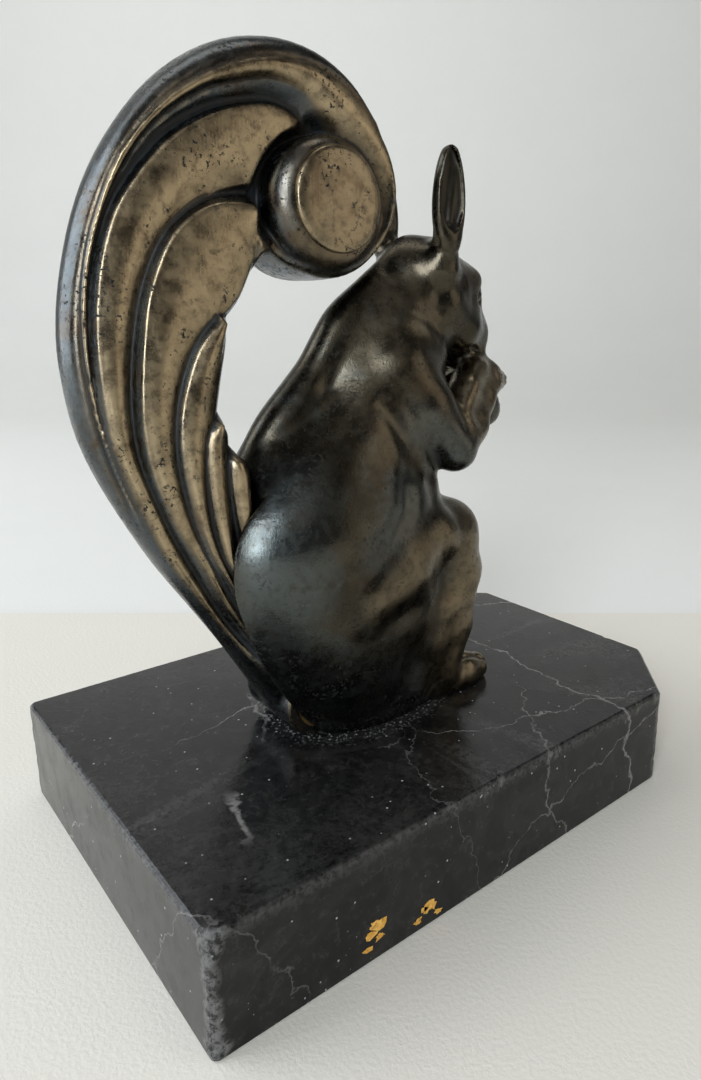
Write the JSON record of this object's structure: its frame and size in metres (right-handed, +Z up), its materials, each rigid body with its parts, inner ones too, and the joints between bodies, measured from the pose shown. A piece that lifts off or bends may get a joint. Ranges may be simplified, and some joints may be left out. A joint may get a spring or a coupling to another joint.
{
  "type": "squirrel nutcracker",
  "caption": "Lever nutcracker as a cast bronze squirrel on a marble slab; the curled tail hinges back to open the jaw between tail and back.",
  "frame": {"origin": "centre of the slab's underside, which is the centre of the object's outline seen from above", "axes": "+X is the way the squirrel faces, +Y is the squirrel's left, +Z is up"},
  "size_m": [0.173, 0.117, 0.2021],
  "materials": {
    "black_marble": "polished",
    "body_bronze": "dark patinated bronze, satin",
    "tail_bronze": "patinated bronze, rubbed on the crests",
    "washer_bronze": "machined",
    "steel": "zinc plated"
  },
  "bodies": {
    "figure": {"marble_slab": "black_marble", "body": "body_bronze", "head": "body_bronze", "left_ear": "body_bronze", "right_ear": "body_bronze", "left_foreleg": "body_bronze", "right_foreleg": "body_bronze", "held_nut": "body_bronze", "left_foot": "body_bronze", "right_foot": "body_bronze", "pivot_pin": "steel", "left_pin_plug": "body_bronze", "right_pin_plug": "body_bronze", "left_friction_washer": "washer_bronze", "right_friction_washer": "washer_bronze", "rear_stud": "steel", "front_stud": "steel", "rear_washer": "steel", "front_washer": "steel", "rear_nut": "steel", "front_nut": "steel"},
    "tail": {"tail_lever": "tail_bronze", "left_roundel": "tail_bronze", "right_roundel": "tail_bronze"}
  },
  "joints": [
    {"name": "tail_hinge", "type": "hinge", "parent": "figure", "child": "tail", "pos_m": [-0.0295, 0, 0.0395], "axis": [0, -1, 0], "range_deg": [0, 30]}
  ]
}
